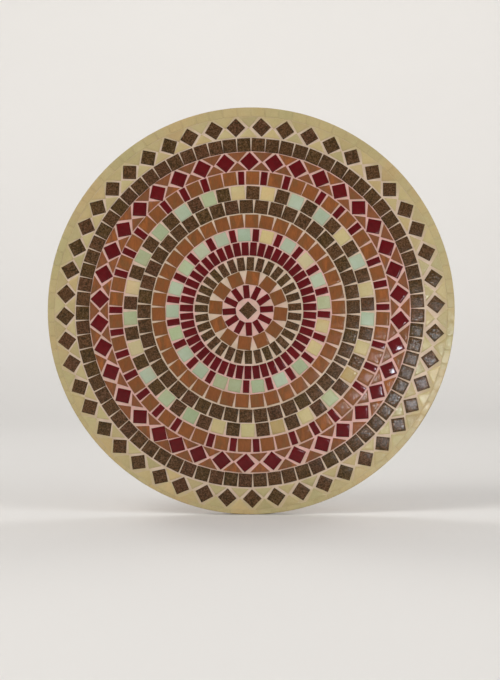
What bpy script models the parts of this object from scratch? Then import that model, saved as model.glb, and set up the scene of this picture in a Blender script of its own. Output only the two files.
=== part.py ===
"""Round mosaic wall panel: glass tiles grouted in rings on a backing board.

The panel hangs upright, its back flat on the wall plane (XZ) and its face towards -Y.
The origin is the middle of the back. Lengths are metres. Angles are degrees, read
clockwise from the top as one looks at the face.

Each ring of tiles is one object: its tiles, and the grout that locks them together. The
tiles stand a little proud of the grout, so every joint is a shallow groove.
"""
import bpy
import bmesh
from math import cos, pi, radians, sin, sqrt
from mathutils import Vector

# Sizes of the tiles, the joints and the board
TILE = 0.020
HALF_TILE = 0.010
TILE_THICKNESS = 0.004
JOINT = 0.0020
GROUT_RECESS = 0.0008
ADHESIVE = 0.001
BOARD_THICKNESS = 0.012

# Gap between two solids that touch, and the distance at which points are one point
CLEARANCE = 0.0003
WELD = CLEARANCE / 6

# The hand-set pattern isn't quite centred: its middle lies a little left of the board's
# middle, and its last ring a little below it. X is to the right and Z is up.
CENTRE_SHIFT = Vector((-0.0048, 0.0, 0.0007))
BORDER_SHIFT = Vector((0.0001, 0.0, -0.0033))

# The middle is one square tile on its point, in a round patch of grout with this margin
PATCH_MARGIN = 0.0006
PATCH_SIDES = 12

# The rim is a band of half tiles laid along the edge, with hardly a joint between them
RIM_SLACK = 0.0004
ROUND_SIDES = 72

# An edge of a ring that spans more degrees than this is bent once more at its middle
LONGEST_ARC = 20.0

# Linear colours of the glass and of the board
BURGUNDY = (0.085, 0.006, 0.012)
TERRACOTTA = (0.260, 0.090, 0.030)
BROWN = (0.050, 0.028, 0.018)
MINT = (0.470, 0.520, 0.350)
CREAM = (0.560, 0.480, 0.260)
BOARD = (0.420, 0.290, 0.170)
GLASS_ROUGHNESS = 0.2
BOARD_ROUGHNESS = 0.8

# How a ring's tiles follow one another: h is a half tile set on end, s a square tile and
# d a square tile on its point
MINT_ORDER = "hs" * 11 + "s" + "hs" * 9
BROWN_ORDER = "s" * 14 + "h" + "s" * 30
TERRACOTTA_ORDER = (
    "hs" + "hss" + "hshshss" * 5 + "hs" * 6 + "hss" + "hshshss" * 2 + "hs"
)

# Rings from the middle outwards: name, how much deeper the ring is than a tile and a joint,
# order of the tiles, angle of the first joint (of the first diamond, where the tiles are on
# their points), creep and colour. The creep is what setting by eye did to a ring: by how
# many degrees its tiles run ahead of an even spacing at 3, at 6 and at 9 o'clock.
RINGS = (
    ("ring_01_burgundy_spokes", 0.0011, "h" * 12, 9.8, (1.7, 2.6, 1.7), BURGUNDY),
    ("ring_02_terracotta_spokes", -0.0012, "s" * 12, 23.0, (-1.7, -1.7, -2.9), TERRACOTTA),
    ("ring_03_brown_bars", -0.0013, "h" * 31, 8.5, (1.5, 2.8, 2.7), BROWN),
    ("ring_04_burgundy_bars", 0.0004, "h" * 47, 0.9, (-2.5, -0.4, -0.4), BURGUNDY),
    ("ring_05_mint_and_burgundy", -0.0023, MINT_ORDER, 2.4, (0.0, 1.8, 0.2), MINT),
    ("ring_06_terracotta_squares", -0.0002, "s" * 38, 6.6, (0.7, 2.3, 0.8), TERRACOTTA),
    ("ring_07_brown_squares", 0.0, BROWN_ORDER, 2.7, (0.0, 0.9, 0.1), BROWN),
    ("ring_08_brown_and_mint", -0.0015, "s" * 50, 5.4, (-1.7, -1.2, -1.5), MINT),
    ("ring_09_terracotta_and_burgundy", -0.0001, TERRACOTTA_ORDER, 4.5, (0.8, 2.5, 1.7), TERRACOTTA),
    ("ring_10_burgundy_diamonds", -0.0026, "d" * 38, 0.1, (-1.9, 1.4, 0.1), BURGUNDY),
    ("ring_11_brown_squares", 0.0014, "s" * 73, 0.2, (-0.4, 1.5, 0.8), BROWN),
    ("ring_12_brown_diamonds", -0.0014, "d" * 48, 3.0, (2.1, 4.2, 3.2), BROWN),
)

# What each kind of tile measures along its ring, and along the radius
DIAGONAL = TILE * sqrt(2)
TILE_WIDTHS = {"h": HALF_TILE, "s": TILE, "d": DIAGONAL}
TILE_LENGTHS = {"h": TILE, "s": TILE, "d": DIAGONAL}

# Heights along Y: the back of the board is at 0 and the face is on the negative side
BOARD_FRONT = -BOARD_THICKNESS
MOSAIC_BACK = BOARD_FRONT - CLEARANCE
TILE_FACE = BOARD_FRONT - ADHESIVE - TILE_THICKNESS
GROUT_FACE = TILE_FACE + GROUT_RECESS


def ring_depth(slack, order):
    """Depth of a ring along the radius: its longest tile, a joint and its own slack."""
    return max(TILE_LENGTHS[kind] for kind in order) + JOINT + slack


PATCH_RADIUS = DIAGONAL / 2 + PATCH_MARGIN
PATTERN_RADIUS = PATCH_RADIUS + sum(ring_depth(ring[1], ring[2]) for ring in RINGS)
PANEL_RADIUS = PATTERN_RADIUS + HALF_TILE + JOINT + RIM_SLACK


def clear_scene():
    for old in list(bpy.data.objects):
        bpy.data.objects.remove(old, do_unlink=True)


def make_collection(name):
    collection = bpy.data.collections.new(name)
    bpy.context.scene.collection.children.link(collection)
    return collection


def make_material(name, colour, roughness):
    material = bpy.data.materials.new(name)
    material.use_nodes = True
    shader = material.node_tree.nodes["Principled BSDF"]
    shader.inputs["Base Color"].default_value = (*colour, 1.0)
    shader.inputs["Roughness"].default_value = roughness
    shader.inputs["Metallic"].default_value = 0.0
    return material


def direction(angle):
    """Unit vector at an angle, clockwise from the top."""
    return Vector((sin(radians(angle)), 0.0, cos(radians(angle))))


def pattern_circle(radius):
    """A circle of the pattern: its middle, which drifts outwards, and its radius."""
    share = (radius / PATTERN_RADIUS) ** 2
    return CENTRE_SHIFT.lerp(BORDER_SHIFT, share), radius


def crept(angle, creep):
    """Where a joint really lies: a smooth curve through the creep at the four quarters."""
    right, bottom, left = creep
    turn = radians(angle)
    ahead = (right + bottom + left) / 4 - bottom / 2 * cos(turn)
    ahead += (right - left) / 2 * sin(turn) + (bottom - right - left) / 4 * cos(2 * turn)
    return angle + ahead


def joint_angles(order, first, creep):
    """Angle of each joint of a ring: its tiles share the circle by their widths."""
    steps = [TILE_WIDTHS[kind] + JOINT for kind in order]
    angles = [first]
    for step in steps[:-1]:
        angles.append(angles[-1] + 360.0 * step / sum(steps))
    return [crept(angle, creep) for angle in angles]


def ring_sheet(angles, inner_circle, outer_circle):
    """Flat ring of cells, one for each tile: one row of a grid, rolled into a ring.

    Its inner edge stays outside the inner circle and its outer edge inside the outer one,
    so two rings that meet at a circle never cross it.
    """
    count = len(angles)
    spans = [(angles[(i + 1) % count] - angles[i]) % 360.0 for i in range(count)]
    bent = max(spans) > LONGEST_ARC
    arc = max(spans) / 2 if bent else max(spans)
    middle, radius = inner_circle
    inner = (middle, (radius + CLEARANCE / 2) / cos(radians(arc / 2)))
    middle, radius = outer_circle
    outer = (middle, radius - CLEARANCE / 2)
    sheet = bmesh.new()
    bmesh.ops.create_grid(sheet, x_segments=count, y_segments=1, size=0.5)
    for point in sheet.verts:
        joint = round((point.co.x + 0.5) * count) % count
        middle, radius = outer if point.co.y > 0 else inner
        point.co = middle + direction(angles[joint]) * radius
        point.co.y = GROUT_FACE
    bmesh.ops.remove_doubles(sheet, verts=sheet.verts[:], dist=WELD)
    if bent:
        for middle, radius in (inner, outer):
            bend_arcs(sheet, middle, radius)
    return sheet


def bend_arcs(sheet, middle, radius):
    """Halve each edge of an outline, and bring its new point out to the circle."""
    level = middle + Vector((0.0, GROUT_FACE, 0.0))
    outline = {p for p in sheet.verts if abs((p.co - level).length - radius) < WELD}
    arcs = [edge for edge in sheet.edges if set(edge.verts) <= outline]
    halved = bmesh.ops.subdivide_edges(sheet, edges=arcs, cuts=1)
    for item in halved["geom_inner"]:
        if isinstance(item, bmesh.types.BMVert):
            item.co = level + (item.co - level).normalized() * radius


def thicken(sheet, back):
    """Sweep a flat sheet back to a plane, and return the faces that stay in front."""
    front = sheet.faces[:]
    swept = bmesh.ops.extrude_face_region(sheet, geom=front)
    for item in swept["geom"]:
        if isinstance(item, bmesh.types.BMVert):
            item.co.y = back
    return front


def cross_into_diamonds(sheet, cells):
    """Part each cell crosswise, and join the quarters on both sides of a joint.

    That leaves a diamond on each joint, and a triangle inside and outside of each crossing.
    """
    edges = {edge for cell in cells for edge in cell.edges}
    joints = [edge for edge in edges if set(edge.link_faces) <= set(cells)]
    poked = bmesh.ops.poke(sheet, faces=cells)
    bmesh.ops.dissolve_edges(sheet, edges=joints, use_verts=False)
    crossings = set(poked["verts"])
    return [face for face in sheet.faces if crossings & set(face.verts)]


def inset_joints(sheet, cells):
    """Draw each cell's outline in by half a joint, which leaves the groove around it."""
    bmesh.ops.inset_individual(
        sheet, faces=cells, thickness=JOINT / 2, use_even_offset=True
    )


def raise_tile(cell, centre, width, length):
    """Bring an inset cell up to the tiles' face, no larger than the tile itself."""
    middle = cell.calc_center_median()
    outward = middle - centre
    outward.y = 0.0
    outward.normalize()
    along = Vector((outward.z, 0.0, -outward.x))
    for point in cell.verts:
        offset = point.co - middle
        across = max(-width / 2, min(width / 2, offset.dot(along)))
        reach = max(-length / 2, min(length / 2, offset.dot(outward)))
        point.co = middle + along * across + outward * reach
        point.co.y = TILE_FACE


def build_ring(inner_radius, outer_radius, order, first, creep):
    """Ring of tiles and the grout around them."""
    centre, _ = pattern_circle((inner_radius + outer_radius) / 2)
    angles = joint_angles(order, first, creep)
    sheet = ring_sheet(angles, pattern_circle(inner_radius), pattern_circle(outer_radius))
    cells = thicken(sheet, MOSAIC_BACK)
    if "d" in order:
        cells = cross_into_diamonds(sheet, cells)
        inset_joints(sheet, cells)
        diagonal = min(DIAGONAL, outer_radius - inner_radius - JOINT)
        for cell in cells:
            raise_tile(cell, centre, diagonal, diagonal)
    else:
        inset_joints(sheet, cells)
        for cell, kind in zip(cells, order):
            raise_tile(cell, centre, TILE_WIDTHS[kind], TILE_LENGTHS[kind])
    return sheet


def build_rim():
    """Band from the last ring of the pattern to the edge of the board."""
    angles = [360.0 * index / ROUND_SIDES for index in range(ROUND_SIDES)]
    edge_circle = (Vector(), PANEL_RADIUS)
    sheet = ring_sheet(angles, pattern_circle(PATTERN_RADIUS), edge_circle)
    for point in sheet.verts:
        point.co.y = TILE_FACE
    thicken(sheet, MOSAIC_BACK)
    return sheet


def build_centre_patch():
    """One square tile on its point, in the middle of a round patch of grout."""
    middle = CENTRE_SHIFT + Vector((0.0, GROUT_FACE, 0.0))
    patch = bmesh.new()
    made = bmesh.ops.create_circle(patch, cap_ends=True, segments=PATCH_SIDES, radius=1.0)
    for index, point in enumerate(made["verts"]):
        ray = direction(360.0 * index / PATCH_SIDES)
        point.co = middle + ray * (PATCH_RADIUS - CLEARANCE / 2)
    tile = thicken(patch, MOSAIC_BACK)
    inset_joints(patch, tile)
    half_diagonal = min(DIAGONAL / 2, PATCH_RADIUS - JOINT / 2)
    for point in tile[0].verts:
        ray = (point.co - middle).normalized()
        point.co = middle + ray * half_diagonal / (abs(ray.x) + abs(ray.z))
        point.co.y = TILE_FACE
    return patch


def add_mosaic_piece(collection, name, sheet, colour):
    """Make a finished sheet of tiles into a named object of its own colour of glass."""
    bmesh.ops.recalc_face_normals(sheet, faces=sheet.faces[:])
    mesh = bpy.data.meshes.new(name)
    sheet.to_mesh(mesh)
    sheet.free()
    mesh.materials.append(make_material(name, colour, GLASS_ROUGHNESS))
    collection.objects.link(bpy.data.objects.new(name, mesh))


def add_board(collection, name):
    """Round board that carries the mosaic, its back on the wall plane."""
    bpy.ops.mesh.primitive_cylinder_add(
        vertices=ROUND_SIDES,
        radius=PANEL_RADIUS,
        depth=BOARD_THICKNESS,
        location=(0.0, -BOARD_THICKNESS / 2, 0.0),
        rotation=(pi / 2, 0.0, 0.0),
    )
    board = bpy.context.object
    board.name = name
    board.data.name = name
    board.data.materials.append(make_material(name, BOARD, BOARD_ROUGHNESS))
    for holder in list(board.users_collection):
        holder.objects.unlink(board)
    collection.objects.link(board)


def main():
    clear_scene()
    panel = make_collection("mosaic_panel")
    add_board(panel, "backing_board")
    add_mosaic_piece(panel, "centre_stone", build_centre_patch(), BROWN)
    inner = PATCH_RADIUS
    for name, slack, order, first, creep, colour in RINGS:
        outer = inner + ring_depth(slack, order)
        add_mosaic_piece(panel, name, build_ring(inner, outer, order, first, creep), colour)
        inner = outer
    add_mosaic_piece(panel, "rim_band", build_rim(), CREAM)


main()
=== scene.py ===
# %% [markdown]
# # A round mosaic panel, dressed with real tiles
# The object is a board of 60 cm, covered with rings of small glass tiles and grouted.
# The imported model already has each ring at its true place, as one solid of low relief.
# This lesson keeps those places and lays the mosaic again, tile by tile, as its maker did:
# pressed square tiles, halves nipped from them, triangles nipped across the diagonal,
# each with its own small faults, and grout a little below them.

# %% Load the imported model
import random
from math import cos, pi, radians, sin, sqrt, tan

import bmesh
import bpy
from mathutils import Matrix, Vector


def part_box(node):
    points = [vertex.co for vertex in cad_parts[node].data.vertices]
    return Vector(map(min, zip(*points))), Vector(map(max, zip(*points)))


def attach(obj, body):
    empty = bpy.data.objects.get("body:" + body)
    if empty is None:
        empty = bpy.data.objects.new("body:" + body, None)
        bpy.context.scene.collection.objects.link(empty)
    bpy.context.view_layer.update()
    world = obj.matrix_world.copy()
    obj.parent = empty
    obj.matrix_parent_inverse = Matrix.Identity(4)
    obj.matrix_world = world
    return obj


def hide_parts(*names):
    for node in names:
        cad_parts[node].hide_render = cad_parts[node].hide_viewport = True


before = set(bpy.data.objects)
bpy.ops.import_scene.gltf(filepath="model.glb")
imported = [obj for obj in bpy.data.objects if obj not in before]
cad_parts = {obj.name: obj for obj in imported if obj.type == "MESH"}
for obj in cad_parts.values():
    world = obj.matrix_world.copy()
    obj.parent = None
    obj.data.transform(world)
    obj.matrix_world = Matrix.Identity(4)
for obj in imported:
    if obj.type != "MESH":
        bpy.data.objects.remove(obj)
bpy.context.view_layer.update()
print("nodes in the frame:", len(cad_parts))

# %% [markdown]
# ## Where the tiles go
# A mosaic like this is set by hand from the middle outwards, so its rings aren't quite
# centred on the board: the middle sits a little to the left and the last ring a little
# low. Nor are they quite round: the outer ones bulge at the lower left and are drawn in at
# the right. The rings could be measured off the low relief, face by face. It is simpler to
# use the same rule that made it: a ring is as deep as its longest tile, a joint and a slack
# of its own, and its tiles share the circle by their widths. They were spaced by eye, so
# they creep ahead of an even spacing and fall back, by a degree or two in most rings, and
# a few short stretches are out of step.

# %% Sizes of the tiles, the joints and the board
TILE = 0.020
HALF_TILE = 0.010
TILE_THICKNESS = 0.004
JOINT = 0.0020
GROUT_RECESS = 0.0008
DIAGONAL = TILE * sqrt(2)

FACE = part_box("centre_stone")[0].y
BOARD_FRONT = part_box("backing_board")[0].y
PANEL_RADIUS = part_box("backing_board")[1].x
GROUT_FACE = FACE + GROUT_RECESS
print(f"face at {FACE:.4f}, board's front at {BOARD_FRONT:.4f}, radius {PANEL_RADIUS:.4f}")

# %% The rings, from the middle outwards
# h is a half tile set on end, s a square tile and d a square tile on its point
MINT_ORDER = "hs" * 11 + "s" + "hs" * 9
BROWN_ORDER = "s" * 14 + "h" + "s" * 30
TERRACOTTA_ORDER = (
    "hs" + "hss" + "hshshss" * 5 + "hs" * 6 + "hss" + "hshshss" * 2 + "hs"
)
WIDTHS = {"h": HALF_TILE, "s": TILE, "d": DIAGONAL}
LENGTHS = {"h": TILE, "s": TILE, "d": DIAGONAL}

# Node, how much deeper the ring is than a tile and a joint, order, angle of the first joint,
# and by how many degrees its tiles have crept ahead at 3, at 6 and at 9 o'clock
RINGS = (
    ("ring_01_burgundy_spokes", 0.0011, "h" * 12, 9.8, (1.7, 2.6, 1.7)),
    ("ring_02_terracotta_spokes", -0.0012, "s" * 12, 23.0, (-1.7, -1.7, -2.9)),
    ("ring_03_brown_bars", -0.0013, "h" * 31, 8.5, (1.5, 2.8, 2.7)),
    ("ring_04_burgundy_bars", 0.0004, "h" * 47, 0.9, (-2.5, -0.4, -0.4)),
    ("ring_05_mint_and_burgundy", -0.0023, MINT_ORDER, 2.4, (0.0, 1.8, 0.2)),
    ("ring_06_terracotta_squares", -0.0002, "s" * 38, 6.6, (0.7, 2.3, 0.8)),
    ("ring_07_brown_squares", 0.0, BROWN_ORDER, 2.7, (0.0, 0.9, 0.1)),
    ("ring_08_brown_and_mint", -0.0015, "s" * 50, 5.4, (-1.7, -1.2, -1.5)),
    ("ring_09_terracotta_and_burgundy", -0.0001, TERRACOTTA_ORDER, 4.5, (0.8, 2.5, 1.7)),
    ("ring_10_burgundy_diamonds", -0.0026, "d" * 38, 0.1, (-1.9, 1.4, 0.1)),
    ("ring_11_brown_squares", 0.0014, "s" * 73, 0.2, (-0.4, 1.5, 0.8)),
    ("ring_12_brown_diamonds", -0.0014, "d" * 48, 3.0, (2.1, 4.2, 3.2)),
)

# The round patch in the middle just holds the centre stone on its point
PATCH_RADIUS = DIAGONAL / 2 + 0.0006

# %% Circles of the pattern
# Where the middle and the outermost circle lie, against the middle of the board
CENTRE_SHIFT = Vector((-0.0048, 0.0, 0.0007))
BORDER_SHIFT = Vector((0.0001, 0.0, -0.0033))


def ring_depth(slack, order):
    """Depth of a ring along the radius."""
    return max(LENGTHS[kind] for kind in order) + JOINT + slack


PATTERN_RADIUS = PATCH_RADIUS + sum(ring_depth(row[1], row[2]) for row in RINGS)


def pattern_middle(radius):
    """Middle of a circle of the pattern, which drifts as the circles grow."""
    return CENTRE_SHIFT.lerp(BORDER_SHIFT, (radius / PATTERN_RADIUS) ** 2)


def direction(angle):
    """Unit vector at an angle in degrees, clockwise from the top."""
    return Vector((sin(radians(angle)), 0.0, cos(radians(angle))))


def lobe(angle, towards, sharpness=6):
    """1 towards an angle, and smoothly 0 away from it."""
    return max(0.0, cos(radians(angle - towards))) ** sharpness


# How far the outermost circle bulges and is drawn in, and towards which angle
BULGE, BULGE_ANGLE = 0.0024, 222.0
DRAWN_IN, DRAWN_IN_ANGLE = 0.0011, 112.0


def ring_place(radius, angle):
    """Place on a circle, which bulges at the lower left and is drawn in at the right."""
    bulge = BULGE * lobe(angle, BULGE_ANGLE) - DRAWN_IN * lobe(angle, DRAWN_IN_ANGLE)
    reach = radius + bulge * radius / PATTERN_RADIUS
    return pattern_middle(radius) + direction(angle) * reach


def crept(angle, creep):
    """Where setting by eye has put a tile: a smooth curve through the creep of a ring."""
    right, bottom, left = creep
    turn = radians(angle)
    ahead = (right + bottom + left) / 4 - bottom / 2 * cos(turn)
    ahead += (right - left) / 2 * sin(turn) + (bottom - right - left) / 4 * cos(2 * turn)
    return angle + ahead


# Stretches that were set out of step: towards which angle, by how many degrees, and how
# sharply the slip falls off
SLIPS = {
    "ring_08": ((310.0, 1.0, 10),),
    "ring_10": ((150.0, -0.8, 14), (222.0, -2.4, 24)),
    "ring_12": ((74.0, -0.9, 24), (113.0, 1.7, 10), (212.0, -0.5, 8)),
}


def tile_angles(node, order, first, creep):
    """Angle of each tile's middle: the tiles share the circle by their widths."""
    steps = [WIDTHS[kind] + JOINT for kind in order]
    if "d" in order:
        angles = [first + 360.0 * index / len(order) for index in range(len(order))]
    else:
        angles, edge = [], first
        for step in steps:
            turn = 360.0 * step / sum(steps)
            angles.append(edge + turn / 2)
            edge += turn
    angles = [crept(angle, creep) for angle in angles]
    for towards, slip, sharpness in SLIPS.get(node[:7], ()):
        angles = [angle + slip * lobe(angle, towards, sharpness) for angle in angles]
    return angles


rings = {}
reach = PATCH_RADIUS
for node, slack, order, first, creep in RINGS:
    inner, reach = reach, reach + ring_depth(slack, order)
    rings[node] = (inner, reach, order, tile_angles(node, order, first, creep))
    print(f"{node}: {inner:.4f} to {reach:.4f}, {len(order)} tiles")

# %% [markdown]
# ## One glass tile
# A vitreous glass tile is pressed in a mould: its front edges are softly rounded, its
# front is a little fuller in the middle, and its sides draw in towards the back so that
# the mortar can grip them. A cube with bevelled edges gives that, and an inset of the
# front that is raised by a hair gives the fullness. Each tile is made on its own, with
# its corners moved a little, because no two tiles that are nipped by hand are alike. A
# triangle is such a tile, turned onto its point and cut along its diagonal, so its long
# side keeps the sharp edges of a fresh cut.

# %% Make one tile around the origin, its front facing -Y
dice = random.Random(12)
EDGE_ROUND = 0.0006
FULLNESS = 0.00022
DRAFT = 0.94

# Steps of the dome on a tile's front: how far in, as a share of its breadth, and how much
# of its fullness each one rises; the rest is the crown's
DOME_STEPS = ((0.13, 0.45), (0.19, 0.40))
CROWN_RISE = 0.15


def wobble(amount):
    """A small fault of the hand, either way."""
    return dice.uniform(-amount, amount)


def add_dome(tile, breadth):
    """Raise the middle of a tile's front by a hair, in steps of a shallow dome."""
    front = min(tile.faces, key=lambda face: face.calc_center_median().y)
    for step, rise in DOME_STEPS:
        bmesh.ops.inset_individual(
            tile, faces=[front], thickness=breadth * step, use_even_offset=True
        )
        bmesh.ops.translate(tile, vec=(0.0, -FULLNESS * rise, 0.0), verts=front.verts)
    crown = bmesh.ops.poke(tile, faces=[front])
    bmesh.ops.translate(tile, vec=(0.0, -FULLNESS * CROWN_RISE, 0.0), verts=crown["verts"])


def pressed_tile(width, length, fault, rounding=EDGE_ROUND):
    """Square or half tile of a given size, with its corners a little off."""
    tile = bmesh.new()
    bmesh.ops.create_cube(tile, size=1.0)
    size = (width, TILE_THICKNESS, length)
    bmesh.ops.scale(tile, vec=size, verts=tile.verts)
    bmesh.ops.translate(tile, vec=(0.0, TILE_THICKNESS / 2, 0.0), verts=tile.verts)
    for side_x in (-1, 1):
        for side_z in (-1, 1):
            move = Vector((wobble(fault), 0.0, wobble(fault)))
            for point in tile.verts:
                if point.co.x * side_x > 0 and point.co.z * side_z > 0:
                    point.co += move
    back = [point for point in tile.verts if point.co.y > TILE_THICKNESS / 2]
    bmesh.ops.scale(tile, vec=(DRAFT, 1.0, DRAFT), verts=back)
    rounded = [edge for edge in tile.edges if not set(edge.verts) <= set(back)]
    bmesh.ops.bevel(
        tile, geom=rounded, offset=rounding, segments=2, profile=0.5,
        affect="EDGES", material=-1,
    )
    add_dome(tile, min(width, length))
    return tile


# A corner this close to the cut counts as on it, so that no sliver is left
CUT_REACH = 0.00005


def nipped_triangle(width, height, fault):
    """Square tile nipped across: its long side is up, and its right angle points down."""
    side = width / sqrt(2)
    tile = pressed_tile(side, side, fault)
    bmesh.ops.rotate(
        tile, cent=(0, 0, 0), matrix=Matrix.Rotation(radians(45), 3, "Y"), verts=tile.verts
    )
    cut = bmesh.ops.bisect_plane(
        tile, geom=tile.verts[:] + tile.edges[:] + tile.faces[:], dist=CUT_REACH,
        plane_co=(0, 0, 0), plane_no=(0, 0, 1), clear_outer=True,
    )
    rim = [item for item in cut["geom_cut"] if isinstance(item, bmesh.types.BMEdge)]
    bmesh.ops.holes_fill(tile, edges=rim, sides=0)
    bmesh.ops.scale(tile, vec=(1.0, 1.0, 2 * height / width), verts=tile.verts)
    return tile


sample = pressed_tile(TILE, TILE, 0.0)
print("one tile has", len(sample.faces), "faces")
sample.free()

# %% [markdown]
# ## Laying the tiles
# A tile is set with its back in mortar, so it never lies quite flat or quite straight.
# That is what makes old mosaics glitter: each tile mirrors a slightly different part of
# the room. Every tile gets a small turn and tilt here, and it is pushed in by as much as
# the tilt would lift its highest corner, so none stands out of the panel. Each point also
# carries three values for the finish: the tile's own colour, where the point lies on its
# tile, and a number drawn for the tile, which keeps the pattern of one tile from running
# on into the next.

# %% Helpers that lay tiles into a piece
TURN, SHIFT, TILT = 1.0, 0.00018, 0.45


def new_piece():
    """Empty mesh that carries the values that the glass reads."""
    piece = bmesh.new()
    piece.verts.layers.float_color.new("glass_tone")
    piece.verts.layers.float_vector.new("tile_spot")
    return piece


def mark(tile, width, length, tone):
    """Write the tile's colour, the place on it and its own number on each point."""
    tones = tile.verts.layers.float_color.new("glass_tone")
    spots = tile.verts.layers.float_vector.new("tile_spot")
    number = dice.random()
    for point in tile.verts:
        point[tones] = (*tone, 1.0)
        point[spots] = (2 * point.co.x / width, 2 * point.co.z / length, number)


def lay(piece, tile, place, angle, turn=TURN, shift=SHIFT, tilt=TILT):
    """Bed a tile in the mortar: at its place, and a little out of true."""
    lean = Matrix.Rotation(radians(wobble(tilt)), 4, "X")
    lean @= Matrix.Rotation(radians(wobble(tilt)), 4, "Z")
    spin = Matrix.Rotation(radians(angle + wobble(turn)), 4, "Y")
    slip = Vector((wobble(shift), 0.0, wobble(shift)))
    bmesh.ops.transform(
        tile, matrix=Matrix.Translation(place + slip) @ spin @ lean, verts=tile.verts
    )
    proud = FACE - min(point.co.y for point in tile.verts)
    bmesh.ops.translate(tile, vec=(0.0, proud, 0.0), verts=tile.verts)
    scrap = bpy.data.meshes.new("scrap")
    tile.to_mesh(scrap)
    tile.free()
    piece.from_mesh(scrap)
    bpy.data.meshes.remove(scrap)


def finish_piece(name, piece, finish, *nodes):
    """Turn a piece into an object of the scene that stands for its CAD nodes."""
    bmesh.ops.recalc_face_normals(piece, faces=piece.faces[:])
    mesh = bpy.data.meshes.new(name)
    piece.to_mesh(mesh)
    piece.free()
    mesh.shade_smooth()
    mesh.set_sharp_from_angle(angle=radians(40))
    mesh.materials.append(FINISHES[finish])
    made = bpy.data.objects.new(name, mesh)
    bpy.context.scene.collection.objects.link(made)
    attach(made, "root")
    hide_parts(*nodes)
    finish != "grout"
    print(f"{name}: {len(mesh.polygons)} faces")


# %% [markdown]
# ## Writing finishes as arithmetic
# A procedural finish is mostly sums: noise times a strength, one minus a mask. Wiring
# those by hand hides the thought, so one small class wraps a socket and turns Python's
# operators into Math nodes. Any other node comes from its method node, which sets the
# node's choices first and then its sockets.

# %% A socket that does sums
class Wire:
    """A socket of a finish that is being made."""

    def __init__(self, tree, socket=None):
        self.tree, self.socket = tree, socket

    def node(self, kind, settings, sockets, output=0):
        """Add a node: its settings or ramp stops first, then its sockets."""
        made = self.tree.nodes.new("ShaderNode" + kind)
        for name, value in settings.items():
            if name == "stops":
                stops = made.color_ramp.elements
                while len(stops) < len(value):
                    stops.new(0.5)
                for stop, (place, colour) in zip(stops, value):
                    stop.position, stop.color = place, (*colour, 1.0)
            else:
                setattr(made, name, value)
        for name, value in sockets.items():
            if isinstance(value, Wire):
                self.tree.links.new(value.socket, made.inputs[name])
            else:
                made.inputs[name].default_value = value
        return Wire(self.tree, made.outputs[output])

    def sum(self, operation, *values):
        """A Math node over wires and numbers."""
        return self.node("Math", {"operation": operation}, dict(enumerate(values)))

    def __add__(self, other):
        return self.sum("ADD", self, other)

    def __sub__(self, other):
        return self.sum("SUBTRACT", self, other)

    def __rsub__(self, other):
        return self.sum("SUBTRACT", other, self)

    def __mul__(self, other):
        return self.sum("MULTIPLY", self, other)

    def __truediv__(self, other):
        return self.sum("DIVIDE", self, other)

    __radd__, __rmul__ = __add__, __mul__

    def between(self, low, high):
        """0 below the low value, 1 above the high one, and a smooth step between."""
        settings = {"interpolation_type": "SMOOTHSTEP"}
        sockets = {"Value": self, "From Min": low, "From Max": high}
        return self.node("MapRange", settings, sockets)

    def noise(self, scale, detail=2.0, roughness=0.5):
        """Soft noise from 0 to 1 over a place."""
        sockets = {"Vector": self, "Scale": scale, "Detail": detail, "Roughness": roughness}
        return self.node("TexNoise", {}, sockets)

    def grains(self, scale):
        """Distance to the nearest of many scattered points, in cells."""
        return self.node("TexVoronoi", {}, {"Vector": self, "Scale": scale})

    def mix(self, other, share):
        """This colour, with a share of another one laid over it."""
        settings = {"data_type": "RGBA"}
        return self.node("Mix", settings, {0: share, 6: self, 7: other}, output=2)

    def multiply(self, other, share):
        """This colour times another one, as far as the share goes."""
        settings = {"data_type": "RGBA", "blend_type": "MULTIPLY"}
        return self.node("Mix", settings, {0: share, 6: self, 7: other}, output=2)

    def bump(self, depth=1.0):
        """Relief for a shader: this height, times a depth in metres."""
        return self.node("Bump", {}, {"Height": self, "Distance": depth, "Strength": 1.0})


def new_finish(name, specular, roughness=0.5):
    """A material with its constants set on the shader, and a wire to start from."""
    material = bpy.data.materials.new(name)
    material.use_nodes = True
    tree = material.node_tree
    shader = tree.nodes["Principled BSDF"]
    shader.inputs["Specular IOR Level"].default_value = specular
    shader.inputs["Roughness"].default_value = roughness
    return material, Wire(tree), shader


def connect(shader, **wires):
    """Link wires to a shader's sockets."""
    for name, wire in wires.items():
        wire.tree.links.new(wire.socket, shader.inputs[name.replace("_", " ")])


# %% [markdown]
# ## Glass
# All the tiles are opaque vitreous glass. They share three things: a glossy skin with
# the faint ripple of pressed glass, a colour that differs from tile to tile as batches
# do, and a painted shade that makes the edges darker where the glass rounds away. Brown glass
# is grainy: its skin is full of small lumps, and each of them catches a window as a glint of
# its own. Pale glass is milky and less sharp, so a window shows in it as a broad soft sheen.
# The colour of a tile comes with its points, so one finish serves every shade of one kind of
# glass.

# %% What every glass has in common
def tile_places(wire):
    """Place in the glass, with each tile moved to a part of the pattern of its own."""
    place = wire.node("TexCoord", {}, {}, output="Object")
    spot = wire.node("Attribute", {"attribute_name": "tile_spot"}, {}, output="Vector")
    parts = wire.node("SeparateXYZ", {}, {0: spot})
    number = Wire(wire.tree, parts.socket.node.outputs["Z"])
    away = wire.node("CombineXYZ", {}, {0: number * 3.1, 1: number * 7.3, 2: number * 1.7})
    moved = wire.node("VectorMath", {"operation": "ADD"}, {0: place, 1: away})
    across = parts.sum("ABSOLUTE", parts)
    along = Wire(wire.tree, parts.socket.node.outputs["Y"])
    along = along.sum("ABSOLUTE", along)
    return moved, number, across.sum("MAXIMUM", across, along)


def skin(place, ripple, grain):
    """Faint ripple and fine grain of pressed glass, each with its depth in metres."""
    return (place.noise(240.0) * ripple + place.noise(640.0, 3.0, 0.6) * grain).bump()


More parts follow.
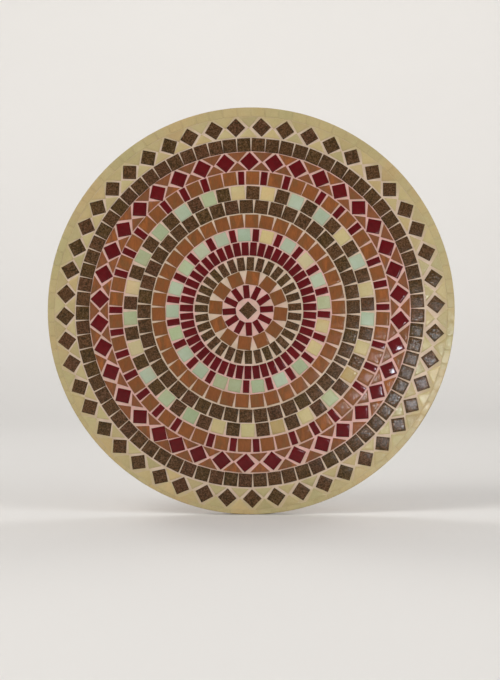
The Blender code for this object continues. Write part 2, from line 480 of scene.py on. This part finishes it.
def tile_tone(wire):
    """The tile's own colour."""
    return wire.node("Attribute", {"attribute_name": "glass_tone"}, {}, output="Color")


def brown_glass():
    """Dark brown glass, mottled with olive and red and full of fine copper flecks."""
    material, wire, shader = new_finish("brown_glass", 0.2)
    place, number, edge = tile_places(wire)
    hue = number * 17.0
    hue = hue.sum("FRACT", hue)
    colour = tile_tone(wire).multiply((0.86, 1.02, 0.74, 1.0), hue.between(0.60, 0.95))
    colour = colour.multiply((1.03, 0.90, 1.12, 1.0), 1.0 - hue.between(0.05, 0.35))
    clouds = place.noise(170.0, 3.0, 0.6)
    mottle = place.noise(460.0, 3.0, 0.7)
    lumps = place.grains(400.0)
    colour = colour.mix((0.026, 0.018, 0.006, 1.0), mottle.between(0.47, 0.58) * 0.9)
    colour = colour.mix((0.150, 0.092, 0.058, 1.0), (1.0 - mottle.between(0.36, 0.46)) * 0.8)
    colour = colour.multiply((0.74, 0.76, 0.70, 1.0), clouds.between(0.40, 0.66))
    flecks = 1.0 - place.grains(1250.0).between(0.14, 0.28)
    flecks = flecks * place.noise(700.0).between(0.45, 0.6)
    colour = colour.mix((0.330, 0.185, 0.100, 1.0), flecks * 0.6)
    # Painted shade: the colour is made darker towards each tile's edge, where the rounded
    # glass turns away from the light
    colour = colour.multiply((0.62, 0.66, 0.55, 1.0), edge.between(0.80, 1.0) * 0.8)
    connect(
        shader, Base_Color=colour, Metallic=flecks * 0.5,
        Normal=((1.0 - lumps * lumps) * 0.00012 + mottle * 0.00012).bump(),
        Roughness=0.05 + mottle * 0.04,
    )
    return material


def burgundy_glass():
    """Deep even burgundy, a little darker in clouds, with a painted shade at the edges."""
    material, wire, shader = new_finish("burgundy_glass", 0.22)
    place, _, edge = tile_places(wire)
    clouds = place.noise(150.0, 3.0)
    colour = tile_tone(wire).multiply((0.80, 0.7, 0.7, 1.0), clouds.between(0.4, 0.7))
    # Painted shade: the colour is made darker towards each tile's edge, where the rounded
    # glass turns away from the light
    colour = colour.multiply((0.6, 0.5, 0.5, 1.0), edge.between(0.82, 1.0) * 0.8)
    connect(
        shader, Base_Color=colour, Normal=skin(place, 0.00003, 0.000004),
        Roughness=0.04 + clouds * 0.05,
    )
    return material


def terracotta_glass():
    """Caramel glass, drawn out in streaks: orange in places, olive towards its edges."""
    material, wire, shader = new_finish("terracotta_glass", 0.22)
    place, number, edge = tile_places(wire)
    drawn = wire.node(
        "VectorMath", {"operation": "MULTIPLY"}, {0: place, 1: (1.7, 1.0, 0.5)}
    )
    clouds = drawn.noise(85.0, 3.0, 0.6)
    streaks = drawn.noise(300.0, 4.0, 0.65)
    grain = place.noise(900.0, 3.0, 0.7)
    fired = number * 13.0
    fired = fired.sum("FRACT", fired).between(0.25, 1.0)
    orange = clouds.between(0.40, 0.68) * (0.25 + fired * 0.75)
    colour = tile_tone(wire).mix((0.310, 0.102, 0.026, 1.0), orange)
    olive = 1.0 - clouds.between(0.34, 0.50)
    olive = olive.sum("MAXIMUM", olive, edge.between(0.62, 1.0)) * 0.6
    colour = colour.mix((0.176, 0.088, 0.029, 1.0), olive)
    colour = colour.multiply((0.78, 0.76, 0.76, 1.0), streaks.between(0.46, 0.66) * 0.7)
    colour = colour.multiply((0.80, 0.78, 0.76, 1.0), grain.between(0.45, 0.75) * 0.6)
    connect(
        shader, Base_Color=colour, Roughness=0.08 + clouds * 0.06,
        Normal=(place.noise(240.0) * 0.00005 + streaks * 0.00018).bump(),
    )
    return material


def pale_glass(name):
    """Pale milky glass, with soft clouds and a few specks of sand."""
    material, wire, shader = new_finish(name, 0.40)
    place, _, edge = tile_places(wire)
    clouds = place.noise(120.0, 4.0, 0.6)
    whole = wire.node("TexCoord", {}, {}, output="Object")
    drift = whole.noise(14.0, 3.0, 0.6)
    colour = tile_tone(wire).multiply((0.90, 0.90, 0.84, 1.0), clouds.between(0.35, 0.7))
    colour = colour.multiply((1.04, 0.96, 0.94, 1.0), drift.between(0.50, 0.66))
    colour = colour.multiply((0.93, 0.98, 0.95, 1.0), 1.0 - drift.between(0.34, 0.50))
    specks = 1.0 - place.grains(600.0).between(0.07, 0.16)
    colour = colour.mix((0.30, 0.26, 0.16, 1.0), specks * 0.35)
    # Painted shade: the colour is made darker towards each tile's edge, where the rounded
    # glass turns away from the light
    colour = colour.multiply((0.86, 0.84, 0.78, 1.0), edge.between(0.8, 1.0) * 0.6)
    connect(
        shader, Base_Color=colour, Normal=skin(place, 0.00007, 0.00003),
        Roughness=0.22 + clouds * 0.10,
    )
    return material


FINISHES = {
    "brown_glass": brown_glass(), "burgundy_glass": burgundy_glass(),
    "terracotta_glass": terracotta_glass(), "mint_glass": pale_glass("mint_glass"),
    "cream_glass": pale_glass("cream_glass"),
}
print("finishes of glass:", ", ".join(FINISHES))

# %% Shades of the glass, in linear colour
BROWN = (0.104, 0.045, 0.016)
BURGUNDY = (0.103, 0.002, 0.004)
TERRACOTTA = (0.206, 0.069, 0.021)
CARAMEL = (0.197, 0.072, 0.031)
YELLOW = (0.55, 0.445, 0.225)
MINT = (0.385, 0.455, 0.345)
GREEN = (0.365, 0.425, 0.265)
CREAM = (0.535, 0.45, 0.26)
OCHRE = (0.43, 0.30, 0.125)
EDGE_CREAM = (0.455, 0.370, 0.190)
PALE_SHADES = {"Y": YELLOW, "M": MINT, "G": GREEN, "C": CREAM, "O": OCHRE}

# The pale tiles of two rings, clockwise from the top, by their shades
RING_05_SHADES = "YMCMGYYGMGGGMMGMMGMMM"
RING_08_SHADES = "YMMYMYMYOGYOYYGGMCGCGGMGY"
print("pale tiles:", len(RING_05_SHADES), "in ring 5 and", len(RING_08_SHADES), "in ring 8")


def batch(tone, spread=0.10, warmth=0.03):
    """A tile's own shade: lighter or darker than its kind, and warmer or cooler."""
    light, warm = 1.0 + wobble(spread), wobble(warmth)
    return (tone[0] * light * (1 + warm), tone[1] * light, tone[2] * light * (1 - warm))


# %% [markdown]
# ## The middle and the twelve rings
# The rings are laid one after another. A ring of two kinds of glass gives two pieces, so
# that each has one finish. The square tiles keep their true shape: what fills a circle
# is the wedge-shaped joints between them.

# %% The centre stone
stone = new_piece()
tile = pressed_tile(0.0193, 0.0193, 0.0001)
mark(tile, TILE, TILE, batch(BROWN))
lay(stone, tile, CENTRE_SHIFT, 45.0, turn=0.5, shift=0.0)
finish_piece("centre_stone_tile", stone, "brown_glass", "centre_stone")

# %% Rings of square tiles and half tiles
# Sizes as pressed and nipped; the half tiles of three rings differ from the others
SQUARE_SIZE = 0.0199
HALF_SIZE = 0.0097
HALF_SIZES = {"ring_01": 0.0099, "ring_03": 0.0108, "ring_04": 0.0103}
NIP_FAULT = 0.00020
WIDTH_SPREAD, LENGTH_SPREAD = 0.03, 0.008

# Least room that a ring keeps past its tiles, in all and at its outer side, and the
# finest joint
RING_ROOM, OUTER_ROOM, HAIR = 0.0009, 0.0008, 0.0001

# How far a ring's tiles sit off the middle of their ring, towards the rim
NUDGES = {
    "ring_01": 0.0005, "ring_02": -0.0003, "ring_03": -0.0001, "ring_07": -0.0003,
    "ring_08": -0.0005, "ring_11": -0.0011,
}


def lay_ring(node, picks):
    """Lay a ring; picks gives, for each kind or place of tile, its piece and its tone."""
    inner, outer, order, angles = rings[node]
    length = min(SQUARE_SIZE, outer - inner - RING_ROOM)
    middle = max((inner + outer) / 2, outer - OUTER_ROOM - length / 2)
    middle += NUDGES.get(node[:7], 0.0)
    for index, (kind, angle) in enumerate(zip(order, angles)):
        piece, tone = picks(kind, index)
        half = HALF_SIZES.get(node[:7], HALF_SIZE) * (1 + wobble(WIDTH_SPREAD))
        width = half if kind == "h" else length
        if len(order) < 20:
            width = min(width, 2 * (middle - length / 2) * tan(pi / len(order)) - HAIR)
        place = ring_place(middle, angle)
        tile = pressed_tile(width, length * (1 + wobble(LENGTH_SPREAD)), NIP_FAULT)
        mark(tile, width, length, batch(tone))
        lay(piece, tile, place, angle)


# %% Rings of one kind of glass, which the third word of their name gives
TONES = {"brown": BROWN, "burgundy": BURGUNDY, "terracotta": TERRACOTTA}
PLAIN_RINGS = (
    "ring_01_burgundy_spokes", "ring_02_terracotta_spokes", "ring_03_brown_bars",
    "ring_04_burgundy_bars", "ring_06_terracotta_squares", "ring_07_brown_squares",
    "ring_11_brown_squares",
)
for node in PLAIN_RINGS:
    glass = node.split("_")[2]
    piece = new_piece()
    lay_ring(node, lambda kind, index: (piece, TONES[glass]))
    finish_piece(node[:7] + "_tiles", piece, glass + "_glass", node)

# %% Ring 5: pale squares and burgundy bars
bars, squares = new_piece(), new_piece()
shades = iter(RING_05_SHADES)


def pick_for_ring_05(kind, index):
    """Burgundy for a half tile, and the next pale shade for a square one."""
    return (bars, BURGUNDY) if kind == "h" else (squares, PALE_SHADES[next(shades)])


lay_ring("ring_05_mint_and_burgundy", pick_for_ring_05)
finish_piece("ring_05_bars", bars, "burgundy_glass", "ring_05_mint_and_burgundy")
finish_piece("ring_05_squares", squares, "mint_glass", "ring_05_mint_and_burgundy")

# %% Ring 8: pale and brown squares in turn
browns, pales = new_piece(), new_piece()
shades = iter(RING_08_SHADES)


def pick_for_ring_08(kind, index):
    """Brown for every second tile, and the next pale shade for the others."""
    return (browns, BROWN) if index % 2 else (pales, PALE_SHADES[next(shades)])


lay_ring("ring_08_brown_and_mint", pick_for_ring_08)
finish_piece("ring_08_brown_squares", browns, "brown_glass", "ring_08_brown_and_mint")
finish_piece("ring_08_pale_squares", pales, "mint_glass", "ring_08_brown_and_mint")

# %% Ring 9: terracotta squares and burgundy bars
bars, squares = new_piece(), new_piece()


def pick_for_ring_09(kind, index):
    """Burgundy for a half tile and terracotta for a square one."""
    return (bars, BURGUNDY) if kind == "h" else (squares, TERRACOTTA)


lay_ring("ring_09_terracotta_and_burgundy", pick_for_ring_09)
finish_piece("ring_09_bars", bars, "burgundy_glass", "ring_09_terracotta_and_burgundy")
finish_piece("ring_09_squares", squares, "terracotta_glass", "ring_09_terracotta_and_burgundy")

# %% [markdown]
# ## Rings of diamonds
# Two rings have square tiles on their points. Between two diamonds lie two triangles,
# nipped from squares: one with its long side on the outer circle, one on the inner. Their
# right angles meet at the crossing of the joints. The diamonds are where the hand shows
# most, so they are turned by several degrees.

# %% Lay a ring of diamonds with its triangles
# By how many degrees the spacing errs, and the faults of each kind of tile
SPACING_FAULT = 0.3
DIAMOND_TURN, DIAMOND_SHIFT, DIAMOND_SPREAD, DIAMOND_NUDGE = 6.0, 0.0003, 0.015, 0.0003
TRIANGLE_TURN, TRIANGLE_SHIFT = 1.5, 0.0002

# Long side of a triangle, against a tile's diagonal, and how far its right angle stops
# short of the middle of the ring
OUTER_BREADTH, OUTER_STOP = 1.05, 0.0001
INNER_BREADTH, INNER_STOP = 0.95, 0.0006


def diamond_ring(node, side, margins, diamond, triangle):
    """Diamonds and the triangles between them, whose bases keep margins from both circles."""
    inner, outer, order, angles = rings[node]
    middle = (inner + outer) / 2
    stones, fillers = new_piece(), new_piece()
    angles = [angle + wobble(SPACING_FAULT) for angle in angles]
    for angle, following in zip(angles, angles[1:] + [angles[0] + 360.0]):
        place = ring_place(middle + DIAMOND_NUDGE, angle)
        tile = pressed_tile(side * (1 + wobble(DIAMOND_SPREAD)), side, NIP_FAULT)
        mark(tile, side, side, batch(diamond[0]))
        lay(stones, tile, place, angle + 45.0, DIAMOND_TURN, DIAMOND_SHIFT)
        gap = (angle + following) / 2
        for base, facing, breadth, stop in (
            (outer - margins[1], 0.0, OUTER_BREADTH, OUTER_STOP),
            (inner + margins[0], 180.0, INNER_BREADTH, INNER_STOP),
        ):
            width, height = DIAGONAL * breadth, abs(base - middle) - stop
            tile = nipped_triangle(width, height, NIP_FAULT)
            mark(tile, width, width, batch(triangle[0]))
            place = ring_place(base, gap)
            lay(fillers, tile, place, gap + facing, TRIANGLE_TURN, TRIANGLE_SHIFT)
    finish_piece(node[:7] + "_diamonds", stones, diamond[1], node)
    finish_piece(node[:7] + "_triangles", fillers, triangle[1], node)


diamond_ring(
    "ring_10_burgundy_diamonds", 0.0200, (0.0009, -0.0003),
    (BURGUNDY, "burgundy_glass"), (CARAMEL, "terracotta_glass"),
)
diamond_ring(
    "ring_12_brown_diamonds", 0.0199, (0.0002, -0.0010),
    (BROWN, "brown_glass"), (EDGE_CREAM, "cream_glass"),
)

# %% [markdown]
# ## The rim
# Half tiles are laid lengthwise along the edge of the board. The pattern sits a little
# low on it, so the rim is deeper at the top than at the bottom, and its maker nipped each
# tile to the room there was, a little wider at its outer side. The joints are drawn first
# and each tile is fitted between two of them, because they are so fine that tiles placed
# one by one would run into each other.

# %% Lay the rim
RIM_TILES = 89
RIM_EDGE = PANEL_RADIUS - 0.0007

# Width of a joint, how far the rim keeps from the last circle, and by how many degrees a
# joint errs
RIM_JOINT, RIM_ROOM, RIM_FAULT = 0.0002, 0.0018, 0.15

rim = new_piece()
joints = [360.0 * index / RIM_TILES + wobble(RIM_FAULT) for index in range(RIM_TILES)]
for start, end in zip(joints, joints[1:] + [joints[0] + 360.0]):
    angle = (start + end) / 2
    low = ring_place(PATTERN_RADIUS, angle).length + RIM_ROOM
    depth, middle = RIM_EDGE - low, (RIM_EDGE + low) / 2
    width = radians(end - start) * middle - RIM_JOINT
    tile = pressed_tile(width, depth, 0.0, rounding=EDGE_ROUND / 2)
    for point in tile.verts:
        point.co.x *= 1 + point.co.z / middle
    mark(tile, width, depth, batch(EDGE_CREAM, 0.03, 0.02))
    lay(rim, tile, direction(angle) * middle, angle, turn=0.1, shift=0.00003, tilt=0.25)
finish_piece("rim_tiles", rim, "cream_glass", "rim_band")

# %% [markdown]
# ## Grout
# Grout is cement and fine sand with a beige pigment, rubbed into the joints and wiped.
# It fills every gap to just below the tiles' face and is drawn round the edge, where it
# covers the tiles' sides. Along the rim the joints are narrow and filled almost to the
# brim, which is why they hardly show. One profile, spun round the board's middle, makes it.
# The burgundy tiles leave a pinkish tint in the grout beside them, so its colour follows
# the distance from the middle.

# %% Grout, spun from its profile
TURNS = 180


def spun(profile):
    """A closed body of revolution round the board's axis, from radius and height pairs."""
    body = bmesh.new()
    points = [body.verts.new((radius, height, 0.0)) for radius, height in profile]
    edges = [body.edges.new(pair) for pair in zip(points, points[1:])]
    bmesh.ops.spin(
        body, geom=points + edges, cent=(0, 0, 0), axis=(0, 1, 0), angle=2 * pi,
        steps=TURNS, use_merge=True,
    )
    bmesh.ops.remove_doubles(body, verts=body.verts[:], dist=1e-6)
    return body


FULL_FACE = FACE + GROUT_RECESS / 2
grout_back = BOARD_FRONT - HAIR
grout = spun((
    (0.0, GROUT_FACE), (0.15, GROUT_FACE), (PATTERN_RADIUS - 0.0110, GROUT_FACE),
    (PATTERN_RADIUS - 0.0060, FULL_FACE), (PANEL_RADIUS - 0.0012, FULL_FACE),
    (PANEL_RADIUS - 0.0003, GROUT_FACE + 0.0005),
    (PANEL_RADIUS - HAIR, GROUT_FACE + 0.0014), (PANEL_RADIUS - HAIR, grout_back),
    (0.0, grout_back),
))


def grout_finish():
    """Sandy beige grout, pinkish beside the burgundy rings."""
    material, wire, shader = new_finish("grout", 0.2, roughness=0.9)
    place = wire.node("TexCoord", {}, {}, output="Object")
    flat = wire.node("VectorMath", {"operation": "MULTIPLY"}, {0: place, 1: (1.0, 0.0, 1.0)})
    reach = wire.node("VectorMath", {"operation": "LENGTH"}, {0: flat}, output="Value")
    clouds = place.noise(60.0, 4.0, 0.6)
    sand = place.noise(2200.0, 3.0, 0.7)
    beige, pink, straw = (0.61, 0.485, 0.375), (0.66, 0.405, 0.37), (0.48, 0.39, 0.22)
    tint = reach.node(
        "ValToRGB",
        {"stops": ((0.0, beige), (0.05, pink), (0.13, pink), (0.18, beige), (0.26, beige),
                   (0.28, pink), (0.41, pink), (0.47, beige), (0.60, beige), (0.64, pink),
                   (0.77, pink), (0.82, beige), (0.91, beige), (0.94, straw), (1.0, straw))},
        {0: reach / PANEL_RADIUS},
    )
    colour = tint.mix((0.60, 0.47, 0.36, 1.0), clouds.between(0.45, 0.62) * 0.5)
    colour = colour.multiply((0.84, 0.82, 0.80, 1.0), clouds.between(0.35, 0.7))
    colour = colour.multiply((0.75, 0.75, 0.75, 1.0), sand.between(0.5, 0.75) * 0.6)
    relief = (sand * 0.6 + clouds * 0.4).bump(0.00012)
    connect(shader, Base_Color=colour, Normal=relief)
    return material


FINISHES["grout"] = grout_finish()
finish_piece("grout", grout, "grout", *[row[0] for row in RINGS], "centre_stone", "rim_band")

# %% [markdown]
# ## The board
# The board under the mosaic is never seen once it hangs: a disc of fibreboard, 12 mm
# thick, its arrises eased with sandpaper and its face and edge sealed with thinned glue.
# It is spun from a profile too. The cut edge drinks more sealer than the face, so it is
# darker and shows the layers of the board.

# %% Board, spun from its profile
EASE = 0.0008
board = spun((
    (0.0, BOARD_FRONT), (PANEL_RADIUS - EASE, BOARD_FRONT),
    (PANEL_RADIUS - EASE * 0.3, BOARD_FRONT + EASE * 0.3), (PANEL_RADIUS, BOARD_FRONT + EASE),
    (PANEL_RADIUS, -EASE), (PANEL_RADIUS - EASE * 0.3, -EASE * 0.3),
    (PANEL_RADIUS - EASE, 0.0), (0.0, 0.0),
))


def board_finish():
    """Sealed fibreboard: matted fibres on the faces, layers on the cut edge."""
    material, wire, shader = new_finish("sealed_fibreboard", 0.3)
    place = wire.node("TexCoord", {}, {}, output="Object")
    flat = wire.node("VectorMath", {"operation": "MULTIPLY"}, {0: place, 1: (1.0, 0.0, 1.0)})
    reach = wire.node("VectorMath", {"operation": "LENGTH"}, {0: flat}, output="Value")
    edge = reach.between(PANEL_RADIUS - 0.0015, PANEL_RADIUS - 0.0003)
    clouds = place.noise(18.0, 5.0, 0.6)
    fibres = place.noise(520.0, 6.0, 0.8)
    specks = 1.0 - place.grains(420.0).between(0.10, 0.24)
    stretched = wire.node(
        "VectorMath", {"operation": "MULTIPLY"}, {0: place, 1: (0.2, 14.0, 0.2)}
    )
    layers = stretched.noise(90.0, 3.0, 0.6)
    face = wire.node("RGB", {}, {})
    face.socket.default_value = (0.36, 0.235, 0.135, 1.0)
    colour = face.multiply((0.88, 0.87, 0.84, 1.0), clouds.between(0.35, 0.7))
    colour = colour.multiply((0.66, 0.62, 0.55, 1.0), fibres.between(0.46, 0.66) * 0.8)
    colour = colour.mix((0.150, 0.085, 0.042, 1.0), specks * clouds.between(0.3, 0.6) * 0.5)
    colour = colour.mix((0.20, 0.120, 0.065, 1.0), edge * 0.75)
    colour = colour.multiply((0.6, 0.55, 0.5, 1.0), layers.between(0.45, 0.7) * edge * 0.8)
    connect(
        shader, Base_Color=colour, Normal=(fibres * 0.5 + clouds * 0.5).bump(0.00015),
        Roughness=0.62 + fibres * 0.2,
    )
    return material


FINISHES["board"] = board_finish()
finish_piece("board", board, "board", "backing_board")

# %% [markdown]
# ## Studio
# The panel stands on a plain pale floor that curves up into a wall all round, so every
# view has the same quiet ground. Two large soft lights stand in front, well off the
# camera's axis, where the glass can't mirror them. Two weaker ones, narrowed by a grid,
# light the back, and one washes the wall behind. Two small panes, like those of a window,
# stand near the camera, low and to the right: they give the patch of glare that the glass
# shows there. A lamp's power is shared out over its spread, so a narrow lamp needs far
# less of it. The camera looks straight at the panel from some way off, which keeps its
# circles round.

# %% A round studio
FLOOR = -PANEL_RADIUS
BOWL, CURVE, WALL_TOP = 6.0, 3.0, FLOOR + 5.0
CURVE_STEPS = 16
bowl = bmesh.new()
profile = [(0.0, FLOOR), (BOWL - CURVE, FLOOR)]
for step in range(1, CURVE_STEPS + 1):
    bend = radians(90.0 * step / CURVE_STEPS)
    profile.append((BOWL - CURVE + CURVE * sin(bend), FLOOR + CURVE * (1 - cos(bend))))
profile.append((BOWL, WALL_TOP))
points = [bowl.verts.new((radius, 0.0, height)) for radius, height in profile]
edges = [bowl.edges.new(pair) for pair in zip(points, points[1:])]
bmesh.ops.spin(
    bowl, geom=points + edges, cent=(0, 0, 0), axis=(0, 0, 1), angle=2 * pi, steps=96,
    use_merge=True,
)
bmesh.ops.remove_doubles(bowl, verts=bowl.verts[:], dist=1e-5)
bowl_mesh = bpy.data.meshes.new("studio_floor")
bowl.to_mesh(bowl_mesh)
bowl.free()
bowl_mesh.shade_smooth()
studio = bpy.data.objects.new("studio_floor", bowl_mesh)
bpy.context.scene.collection.objects.link(studio)

paper, wire, shader = new_finish("pale_paper", 0.1, roughness=0.95)
place = wire.node("TexCoord", {}, {}, output="Object")
grey = place.noise(0.6, 2.0)
stops = ((0.0, (0.68, 0.67, 0.657)), (1.0, (0.72, 0.71, 0.697)))
tint = grey.node("ValToRGB", {"stops": stops}, {0: grey})
connect(shader, Base_Color=tint)
bowl_mesh.materials.append(paper)
print(f"floor at {FLOOR:.3f}, its wall {BOWL:.1f} m away")

# %% Lights
def softbox(name, place, aim, size, power, colour=(1.0, 0.97, 0.93), spread=180.0):
    """Soft light that looks at a point; a grid on it can narrow its spread."""
    light = bpy.data.lights.new(name, "AREA")
    light.shape, light.size, light.size_y = "RECTANGLE", size[0], size[1]
    light.energy, light.color, light.spread = power, colour, radians(spread)
    lamp = bpy.data.objects.new(name, light)
    lamp.location = place
    lamp.rotation_mode = "QUATERNION"
    lamp.rotation_quaternion = (Vector(aim) - Vector(place)).to_track_quat("-Z", "Y")
    lamp.visible_camera = False
    bpy.context.scene.collection.objects.link(lamp)


softbox("key", (-2.4, -2.6, 2.6), (0, 0, 0), (2.2, 2.2), 99.0)
softbox("fill", (2.8, -2.4, 1.8), (0, 0, 0), (2.2, 2.2), 54.0)
softbox("back_left", (-2.6, 3.2, 2.4), (0, 0, 0), (2.0, 2.0), 12.0, spread=70.0)
softbox("back_right", (2.6, 3.0, 2.0), (0, 0, 0), (2.0, 2.0), 9.0, spread=70.0)
softbox("backdrop", (0, 1.0, 4.6), (0, 6.0, 1.2), (6.0, 2.4), 95.0, spread=110.0)
GLARE_AIM = (0.27, FACE, -0.12)
DAYLIGHT = (0.80, 0.91, 1.0)
for name, across in (("pane_left", 0.425), ("pane_right", 0.515)):
    softbox(
        name, (across, -1.6, -0.165), GLARE_AIM, (0.05, 0.14), 0.032, DAYLIGHT, spread=24.0
    )

world = bpy.data.worlds.new("soft_sky")
world.use_nodes = True
world.node_tree.nodes["Background"].inputs["Color"].default_value = (0.95, 0.97, 1.0, 1.0)
world.node_tree.nodes["Background"].inputs["Strength"].default_value = 0.35
bpy.context.scene.world = world
bpy.context.scene.view_settings.view_transform = "Standard"
print("lights:", ", ".join(light.name for light in bpy.data.lights))

# %% Camera, straight in front of the panel
DISTANCE = 2.6
SEEN_HEIGHT = 1.0012
camera_data = bpy.data.cameras.new("camera")
camera_data.sensor_fit = "AUTO"
camera_data.sensor_width = 36.0
camera_data.lens = 36.0 * DISTANCE / SEEN_HEIGHT
camera = bpy.data.objects.new("camera", camera_data)
camera.location = (-0.0018, FACE - DISTANCE, -0.0429)
camera.rotation_euler = (radians(90), 0, 0)
bpy.context.scene.collection.objects.link(camera)
bpy.context.scene.camera = camera
print("camera's lens:", round(camera_data.lens, 1), "mm")
